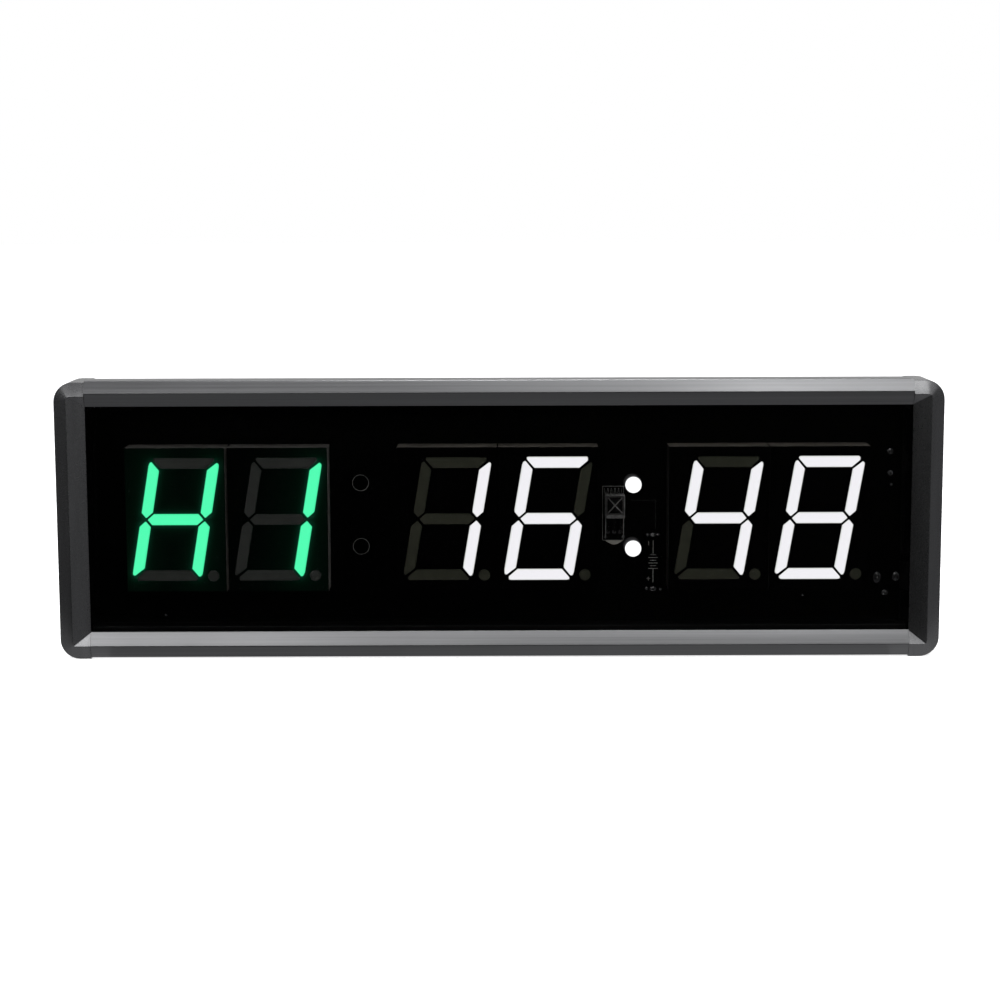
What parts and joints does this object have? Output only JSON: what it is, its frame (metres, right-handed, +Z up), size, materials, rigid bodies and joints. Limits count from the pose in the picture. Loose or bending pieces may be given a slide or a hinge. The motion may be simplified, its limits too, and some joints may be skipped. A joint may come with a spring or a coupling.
{
  "type": "gym round timer",
  "caption": "Slim LED interval timer: aluminium frame with moulded end caps, smoked lens, seven-segment digits, sliding wall hangers.",
  "frame": {"origin": "under the middle of the object, on the surface that it stands on", "axes": "+X to the viewer's right along the frame, -Y is the way the display faces, +Z up"},
  "size_m": [0.27, 0.0342, 0.0856],
  "materials": {
    "dark_anodised": "dark grey anodised, fine extrusion lines",
    "grey_moulded": "moulded, satin grain",
    "smoked_acrylic": "gloss, dark smoked",
    "black_sheet": "fine textured black",
    "board": "black solder mask",
    "display_black": "satin printed face",
    "segment_green": "diffusing epoxy, lit green",
    "segment_white": "diffusing epoxy, lit white",
    "segment_unlit": "diffusing epoxy, unlit",
    "lamp_epoxy": "clear moulded epoxy",
    "nickel": "nickel plated",
    "black_plastic": "moulded",
    "chip": "moulded epoxy",
    "zinc_steel": "zinc plated",
    "black_screw": "black oxide",
    "solder": "bright solder",
    "silkscreen": "printed ink"
  },
  "bodies": {
    "housing": {"bottom_rail": "dark_anodised", "buzzer": "black_plastic", "cap_screw_left_bottom": "black_screw", "cap_screw_left_top": "black_screw", "cap_screw_right_bottom": "black_screw", "cap_screw_right_top": "black_screw", "clock_chip": "chip", "clock_crystal": "nickel", "coin_cell": "nickel", "coin_cell_clip": "nickel", "coin_cell_holder": "black_plastic", "colon_lamp_1": "lamp_epoxy", "colon_lamp_2": "lamp_epoxy", "dc_jack": "black_plastic", "dc_jack_pin": "nickel", "digit_1_housing": "display_black", "digit_1_led_board": "board", "digit_1_light_guide": "segment_green", "digit_2_housing": "display_black", "digit_2_led_board": "board", "digit_2_light_guide": "segment_green", "digit_3_housing": "display_black", "digit_3_led_board": "board", "digit_3_light_guide": "segment_white", "digit_4_housing": "display_black", "digit_4_led_board": "board", "digit_4_light_guide": "segment_white", "digit_5_housing": "display_black", "digit_5_led_board": "board", "digit_5_light_guide": "segment_white", "digit_6_housing": "display_black", "digit_6_led_board": "board", "digit_6_light_guide": "segment_white", "front_lens": "smoked_acrylic", "ir_receiver": "black_plastic", "ir_receiver_shield": "nickel", "led_driver_1": "chip", "led_driver_2": "chip", "left_end_cap": "grey_moulded", "main_board": "board", "microcontroller": "chip", "rear_cover": "black_sheet", "right_end_cap": "grey_moulded", "supply_capacitor": "black_plastic", "top_rail": "dark_anodised", "voltage_regulator": "chip"},
    "left_hanger": {"hanger_left": "zinc_steel", "hanger_nut_left": "zinc_steel", "hanger_screw_left": "black_screw"},
    "right_hanger": {"hanger_right": "zinc_steel", "hanger_nut_right": "zinc_steel", "hanger_screw_right": "black_screw"}
  },
  "joints": [
    {"name": "left_hanger_slide", "type": "slide", "parent": "housing", "child": "left_hanger", "axis": [1, 0, 0], "range_m": [-0.033, 0.065]},
    {"name": "right_hanger_slide", "type": "slide", "parent": "housing", "child": "right_hanger", "axis": [1, 0, 0], "range_m": [-0.065, 0.033]}
  ]
}
